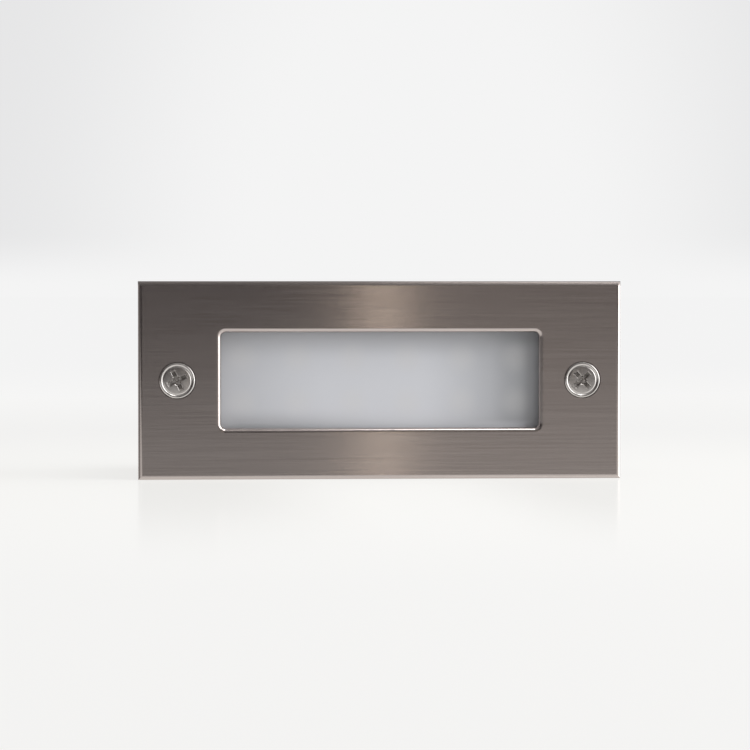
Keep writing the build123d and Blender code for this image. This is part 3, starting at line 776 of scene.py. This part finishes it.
def tracks(finish, pitch_x, pitch_z, width):
    """1 on a net of straight tracks, 0 between them, in the plane of a board."""
    x, _, z = finish.axes()
    lanes = []
    for axis, pitch in ((x, pitch_x), (z, pitch_z)):
        lane = abs((axis / (pitch * mm) + 200.0).maths("FRACT") - 0.5) * pitch
        lanes.append(finish.step(lane, width, width + 0.08, 1.0, 0.0))
    broken = finish.step(finish.noise(130.0, 1.0), 0.47, 0.5)
    return (lanes[0] * broken).maths("MAXIMUM", lanes[1] * (1 - broken))


mask_white = Finish("white_board")
copper = tracks(mask_white, 6.25, 3.55, 0.45)
mask_white.surface(
    Base_Color=mask_white.mix(copper, (0.80, 0.80, 0.78), (0.70, 0.69, 0.64)),
    Roughness=0.36 - copper * 0.08,
    Normal=mask_white.bump(copper, 0.05 * mm, 0.6),
)
painted("led_board", mask_white)

# ---- LEDs ------------------------------------------------------------------------------------
# Twelve 2835 packages in two rows of six: a white moulded cup, its well filled level with
# phosphor in silicone. Two chip resistors share the board with them.

cup = Finish("led_body")
speck = cup.noise(3000.0, 2.0)
cup.surface(
    Base_Color=cup.mix(speck, (0.78, 0.77, 0.72), (0.86, 0.855, 0.82)),
    Roughness=0.4 + speck * 0.1,
    Normal=cup.bump(speck, 0.01 * mm, 0.4),
)
phosphor = Finish("phosphor")
fleck = phosphor.cells(6000.0)
phosphor.surface(
    Base_Color=phosphor.mix(fleck, (0.78, 0.50, 0.05), (0.90, 0.68, 0.16)),
    Roughness=0.3 + fleck * 0.2,
    Normal=phosphor.bump(phosphor.noise(900.0, 1.0), 0.05 * mm, 0.5),
)
packages = cast_from("led_packages", 0.08, 1)
fitted(packages, "led_cups", "light_unit", cup, "led_packages")
painted("led_phosphors", phosphor)

chip = Finish("chip_black")
pepper = chip.noise(4200.0, 3.0, 0.7)
chip.surface(
    Base_Color=chip.mix(pepper, (0.012, 0.012, 0.013), (0.04, 0.04, 0.042)),
    Roughness=0.5 + pepper * 0.2,
    Normal=chip.bump(pepper, 0.012 * mm, 0.5),
)
for node, name in (("led_resistors", "board_resistors"), ("driver_chips", "board_packages")):
    chips = cast_from(node, 0.07, 1)
    fitted(chips, name, "light_unit", chip, node)

# ---- Small screws ----------------------------------------------------------------------------
# M2.5 pan-head screws with a cross recess: three hold the LED board, four the driver board and
# four the rear cover. All of one pattern, zinc-plated, in three lengths.


def pan_screw(seat, length, side, angle):
    """A pan-head screw along Y; its head is in front of its seat for side -1, behind for 1."""
    dome = [(0.0, -1.6), (1.1, -1.56), (1.62, -1.4), (1.98, -1.12), (2.16, -0.75), (2.2, -0.4)]
    foot = [(2.2, -0.04), (2.14, 0.0), (1.0, 0.0), (1.0, 0.3), (0.0, 0.3)]
    head = turned([*dome, *foot], steps=40)
    for tool in recess(-1.62, span=2.7, width=0.62, depth=0.75, point=0.62, angle=angle):
        cut(head, tool)
    eased(head, 0.03, 1, 40.0)
    shank = threaded(1.25, 0.45, 0.0, length, tip=0.3, steps=20)
    alone(shank)
    head.select_set(True)
    bpy.context.view_layer.objects.active = head
    bpy.ops.object.join()
    if side > 0:
        head.rotation_euler = (math.pi, 0, 0)
        bpy.ops.object.transform_apply(location=True, rotation=True, scale=True)
    return moved(head, y=seat)


board_places = [(x, 0.0) for x in (-25.0, 0.0, 25.0)]
driver_places = [(x, z) for x in (-30.0, 30.0) for z in (-9.5, 9.5)]
cover_places = [(x, z) for x in (-37.3, 37.3) for z in (-11.65, 11.65)]
screw_sets = (
    ("led_board_screws", "board_screw", 9.6, 4.0, -1, board_places),
    ("driver_screws", "driver_screw", 18.8, 6.0, 1, driver_places),
    ("rear_cover_screws", "cover_screw", 29.0, 8.0, 1, cover_places),
)
for node, name, seat, length, side, places in screw_sets:
    master = pan_screw(seat, length, side, angle=18.0)
    for i, (x, z) in enumerate(places, 1):
        copy = again(master, x, z)
        fitted(copy, f"{name}_{i}", "light_unit", plated, node, sharp=40.0)
    bpy.data.objects.remove(master)

# ---- Thermal pad and leads -------------------------------------------------------------------
# A soft grey silicone sheet carries the LEDs' heat into the tray. Two silicone-insulated leads
# run from the driver through the tray floor, soldered at both ends.

sheet = Finish("thermal_sheet")
weave = sheet.noise(1.0, 2.0, 0.5, sheet.scaled(1800.0, 1800.0, 1800.0))
sheet.surface(
    Base_Color=sheet.mix(weave, (0.22, 0.24, 0.27), (0.31, 0.33, 0.36)),
    Roughness=0.68 + weave * 0.14,
    Normal=sheet.bump(weave, 0.03 * mm, 0.5),
)
painted("thermal_pad", sheet)
for node, name, dark, light in (
    ("positive_wire", "red_insulation", (0.36, 0.012, 0.012), (0.50, 0.03, 0.025)),
    ("negative_wire", "black_insulation", (0.012, 0.012, 0.013), (0.035, 0.035, 0.036)),
):
    cover = Finish(name)
    ripple = cover.noise(700.0, 3.0)
    cover.surface(
        Base_Color=cover.mix(ripple, dark, light),
        Roughness=0.34 + ripple * 0.14,
        Normal=cover.bump(ripple, 0.03 * mm, 0.4),
    )
    painted(node, cover)
solder = Finish("solder")
dull = solder.noise(1300.0, 4.0, 0.6)
solder.surface(
    Base_Color=solder.mix(dull, (0.46, 0.46, 0.47), (0.66, 0.66, 0.67)),
    Metallic=1.0,
    Roughness=0.2 + dull * 0.25,
    Normal=solder.bump(dull, 0.04 * mm, 0.5),
)
painted("solder_joints", solder)

# ---- Driver ----------------------------------------------------------------------------------
# A glass-epoxy board under green solder mask with the parts of a small mains LED driver: a wound
# choke, two electrolytic capacitors in their sleeves, and a rising-clamp terminal block.

mask_green = Finish("green_board")
copper = tracks(mask_green, 4.1, 3.1, 0.5)
glass = mask_green.noise(1100.0, 2.0)
shade = mask_green.mix(glass, (0.008, 0.055, 0.022), (0.012, 0.075, 0.03))
mask_green.surface(
    Base_Color=mask_green.mix(copper, shade, (0.02, 0.14, 0.05)),
    Roughness=0.3 - copper * 0.05,
    Normal=mask_green.bump(copper, 0.05 * mm, 0.6),
)
painted("driver_board", mask_green)

choke_x = -26.0
winding_radius, winding_front, winding_back = 3.75, 19.75, 24.35
wire_pitch = 0.32
ferrite = Finish("ferrite")
x, y, z = ferrite.axes()
from_axis = ((x - choke_x * mm) ** 2.0 + z ** 2.0).maths("SQRT")
inside = ferrite.step(from_axis, winding_radius * mm, (winding_radius + 0.2) * mm, 1.0, 0.0)
wound = inside * (y > winding_front * mm) * (y < winding_back * mm)
wire = (y * (2 * math.pi / (wire_pitch * mm))).maths("SINE")
powder = ferrite.noise(1700.0, 3.0)
shade = ferrite.mix(powder, (0.03, 0.03, 0.033), (0.065, 0.065, 0.07))
ferrite.surface(
    Base_Color=ferrite.mix(wound, shade, (0.62, 0.22, 0.08)),
    Metallic=wound,
    Roughness=0.55 - wound * 0.25,
    Normal=ferrite.bump(wire * wound + powder * 0.3, 0.05 * mm, 0.7),
)
painted("driver_choke", ferrite)

sleeve = Finish("capacitor_sleeve")
_, y, _ = sleeve.axes()
shrunk = sleeve.noise(240.0, 3.0)
top = sleeve.step(y, 25.68 * mm, 25.74 * mm)
film = sleeve.mix(shrunk, (0.01, 0.016, 0.05), (0.02, 0.028, 0.075))
sleeve.surface(
    Base_Color=sleeve.mix(top, film, (0.6, 0.6, 0.61)),
    Metallic=top,
    Roughness=0.28 + shrunk * 0.1,
    Normal=sleeve.bump(shrunk, 0.04 * mm, 0.4),
)
cans = cast_from("driver_capacitors", 0.3, 3)
fitted(cans, "capacitor_cans", "light_unit", sleeve, "driver_capacitors")

clamp = Finish("terminal_plastic")
sheen = clamp.noise(1400.0, 3.0)
clamp.surface(
    Base_Color=clamp.mix(sheen, (0.012, 0.15, 0.06), (0.02, 0.20, 0.085)),
    Roughness=0.36 + sheen * 0.12,
    Normal=clamp.bump(sheen, 0.015 * mm, 0.5),
)
terminal = cast_from("terminal_block", 0.2, 2)
fitted(terminal, "clamp_block", "light_unit", clamp, "terminal_block")
painted("terminal_screws", plated)

# ---- Rear cover and its seal -----------------------------------------------------------------
# The driver chamber is closed by an aluminium cover on a black rubber seal, held by four of the
# small screws. The cover comes from the same foundry as the tray.

seal = cast_from("rear_cover_seal", 0.18, 2)
fitted(seal, "cover_seal", "light_unit", rubber, "rear_cover_seal")
cover = cast_from("rear_cover", 0.35, 3)
fitted(cover, "cast_cover", "light_unit", casting, "rear_cover")

# ---- Cable gland -----------------------------------------------------------------------------
# An M12 gland of black nylon: the body is held in the cover by a locknut, and its cap squeezes a
# rubber sleeve on the supply cable. A rubber washer seals it to the cover.

tough = Finish("black_nylon")
matt = tough.noise(2400.0, 3.0, 0.6)
rub = tough.edges(0.4 * mm, 2.4)
shade = tough.mix(matt, (0.014, 0.014, 0.015), (0.03, 0.03, 0.031))
tough.surface(
    Base_Color=tough.mix(rub * 0.6, shade, (0.09, 0.09, 0.09)),
    Roughness=0.3 + matt * 0.16,
    Normal=tough.bump(matt, 0.03 * mm, 0.5),
)
washer_section = [(6.1, 29.0), (7.3, 29.0), (7.3, 30.0), (6.1, 30.0)]
washer = eased(turned(washer_section, ring=True), 0.25, 3)
fitted(washer, "gland_seal_washer", "light_unit", rubber, "gland_washer", sharp=50.0)
gland_flats, cable_way = 15.0, 3.5
flange = hexagonal(gland_flats, 30.0, 33.5, bore=cable_way, corner=0.3)
thread = threaded(6.0, 1.5, 23.5, 30.2, tip=0.4, steps=48)
cut(thread, turned([(0.0, 22.0), (cable_way, 22.0), (cable_way, 31.0), (0.0, 31.0)], steps=48))
barrel = turned([(4.7, 34.5), (5.2, 34.5), (5.2, 40.0), (4.7, 40.0)], ring=True)
root = turned([(cable_way, 33.4), (5.2, 33.4), (5.2, 34.5), (cable_way, 34.5)], ring=True)
alone(flange)
for part in (thread, barrel, root):
    part.select_set(True)
bpy.ops.object.join()
fitted(flange, "gland_barrel", "light_unit", tough, "gland_body")
locknut = hexagonal(gland_flats, 24.0, 27.0, bore=6.03, corner=0.3)
fitted(locknut, "gland_nut", "light_unit", tough, "gland_locknut")
grip_section = [(3.0, 34.5), (4.67, 34.5), (4.67, 40.5), (3.0, 40.5)]
grip = eased(turned(grip_section, ring=True), 0.2, 3)
fitted(grip, "cable_sleeve", "light_unit", rubber, "gland_seal", sharp=50.0)
crown = [
    (0.0, 34.0), (7.2, 34.0), (7.84, 34.4), (7.84, 40.6), (7.6, 41.4), (7.0, 42.05),
    (6.2, 42.4), (5.4, 42.5), (0.0, 42.5),
]
cap = hexagonal(14.0, 34.0, 42.5, corner=0.5, section=crown)
cap_bore = [
    (0.0, 33.9), (5.23, 33.9), (5.23, 40.5), (3.4, 40.5), (3.4, 42.2), (3.75, 42.6), (0.0, 42.6),
]
cut(cap, turned(cap_bore))
fitted(cap, "gland_dome", "light_unit", tough, "gland_cap")

# ---- Floor, light and camera -----------------------------------------------------------------
# A plain white table and a white room that is dim on the camera's side, as a studio is. A large
# soft light stands to the right, another hangs overhead, and a narrow warm one is by the camera.

table_size, table_near_edge = 16.0, -0.45


def ray_kinds(finish, *kinds):
    """For each kind of ray, such as Camera, 1 where the surface is seen by such a ray."""
    outputs = finish.add("LightPath", {}, {}).socket.node.outputs
    return [Signal(finish, outputs[f"Is {kind} Ray"]) for kind in kinds]


clear()
bpy.ops.mesh.primitive_plane_add(size=1.0, location=(0, 0, -plate_size[1] / 2 * mm))
floor = bpy.context.object
floor.name = "studio_table"
floor.scale = (table_size, table_size, 1.0)
floor.location.y = table_size / 2 + table_near_edge
bpy.ops.object.transform_apply(location=True, rotation=True, scale=True)

# The table shows a pale tone, with a painted pool of brighter, warmer light near the object and a
# little of its true shading, and it mirrors the ends of the plate more than its middle. Distances
# are in metres.
table = Finish("studio_table")
paper = table.noise(1800.0, 2.0)
camera_ray, glossy_ray, through_ray = ray_kinds(table, "Camera", "Glossy", "Transmission")
lit = table.add("BsdfDiffuse", {}, {"Color": (0.75, 0.75, 0.745, 1.0)})
x, y, _ = table.axes()
far = table.step(y, 0.1, 1.2)
beyond = table.step(y, 0.08, 0.6)
# Painted light: a brighter, warmer pool on the table around the object.
outside_painted_pool = table.step((x * x + y * y).maths("SQRT"), 0.06, 0.3)
mirrored = (1 - beyond) * table.step(y, -0.25, -0.06) * table.step(abs(x), 0.006, 0.04, 0.03, 0.13)
tone = table.mix(outside_painted_pool, (0.999, 0.992, 0.968), (0.935, 0.931, 0.92))
tone = table.mix(far, tone, (0.898, 0.898, 0.898))
shown = table.add("Emission", {}, {"Color": tone, "Strength": 1.0})
seen = camera_ray.maths("MAXIMUM", glossy_ray).maths("MAXIMUM", through_ray)
top = table.add("MixShader", {}, {0: seen * (0.8 + beyond * 0.2), 1: lit, 2: shown})
white = (1.0, 1.0, 1.0, 1.0)
polish = table.add("BsdfGlossy", {}, {"Color": white, "Roughness": 0.12 + paper * 0.05})
grazing = table.add("Fresnel", {}, {"IOR": 1.6}) * glossy_ray + camera_ray * mirrored
varnished = table.add("MixShader", {}, {0: grazing, 1: top, 2: polish})
table.add("OutputMaterial", {}, {"Surface": varnished})
floor.data.materials.append(table.material)

world = bpy.data.worlds.new("studio")
bpy.context.scene.world = world
world.use_nodes = True


class Room(Finish):
    """The world's nodes, added in the same way as a finish's."""

    def __init__(self, world):
        self.tree = world.node_tree
        self.tree.nodes.clear()
        self.place = self.add("TexCoord", {}, {}, "Generated")


# The room that lights the object is dark on the camera's side and to the left, grey overhead, and
# pale to the right and behind the object. The camera sees a backdrop instead, with painted shade
# greying it towards its sides and its top.
room = Room(world)
x, y, z = room.axes()
left = room.step(x, -0.7, -0.1, 1.0, 0.0)
behind = room.step(y - left * 0.9, -0.75, 0.1)
right = room.step(x, 0.25, 0.8)
above = room.step(z, 0.25, 0.9)
side = room.step(x, 0.04, 0.1) - room.step(x, 0.11, 0.2) * 0.5
glow = room.mix(side, (0.062, 0.056, 0.057), (0.175, 0.16, 0.152))
glow = room.mix(behind, glow, (0.75, 0.75, 0.75))
glow = room.mix(right * (1 - behind), glow, (0.8, 0.8, 0.8))
glow = room.mix(above * (1 - behind) * 0.6, glow, (0.5, 0.5, 0.5))
# Painted shade greys the backdrop towards its sides and top.
from_middle = ((x - 0.085) ** 2.0 + z * z * 0.3).maths("SQRT")
corners = room.step(from_middle, 0.045, 0.135) * room.step(y, 0.9, 0.97) * room.step(z, 0.0, 0.018)
backdrop = room.mix(corners, (0.905, 0.905, 0.905), (0.795, 0.795, 0.8))
camera_ray, through_ray = ray_kinds(room, "Camera", "Transmission")
lighting = room.add("Background", {}, {"Color": glow, "Strength": 1.0})
picture = room.add("Background", {}, {"Color": backdrop, "Strength": 1.0})
seen = camera_ray.maths("MAXIMUM", through_ray)
both = room.add("MixShader", {}, {0: seen, 1: lighting, 2: picture})
room.add("OutputWorld", {}, {"Surface": both})


def lamp(name, place, size, power, colour=(1.0, 1.0, 1.0), target=(0.0, 0.0, 0.0)):
    """A rectangular soft light at a place in metres, facing its target."""
    bpy.ops.object.light_add(type="AREA", location=place)
    light = bpy.context.object
    light.name = light.data.name = name
    light.data.shape = "RECTANGLE"
    light.data.size, light.data.size_y = size
    light.data.energy = power
    light.data.color = colour
    away = light.location - Vector(target)
    light.rotation_euler = away.to_track_quat("Z", "Y").to_euler()
    light.visible_camera = False


lamp("right_softbox", (0.7, -0.12, 0.42), (1.25, 0.88), 8.8, target=(0.0, -0.12, 0.42))
lamp("overhead_softbox", (0.31, -0.25, 0.9), (0.5, 0.4), 3.0)
lamp("camera_strip", (0.076, -1.0, 0.05), (0.012, 0.5), 0.027, (1.0, 0.87, 0.72))

azimuth, elevation, distance = math.radians(-4.2), math.radians(1.5), 0.75
level = math.cos(elevation)
back = (math.sin(azimuth) * level, -math.cos(azimuth) * level, math.sin(elevation))
aim = (-1.3 * mm, plate_front * mm, 1.2 * mm)
bpy.ops.object.camera_add(location=[a + distance * b for a, b in zip(aim, back)])
camera = bpy.context.object
camera.rotation_euler = (math.pi / 2 - elevation, 0.0, azimuth)
camera.data.sensor_width = 36.0
camera.data.lens = 158.5
camera.data.clip_start = 0.01
bpy.context.scene.camera = camera
bpy.context.scene.view_settings.view_transform = "Standard"
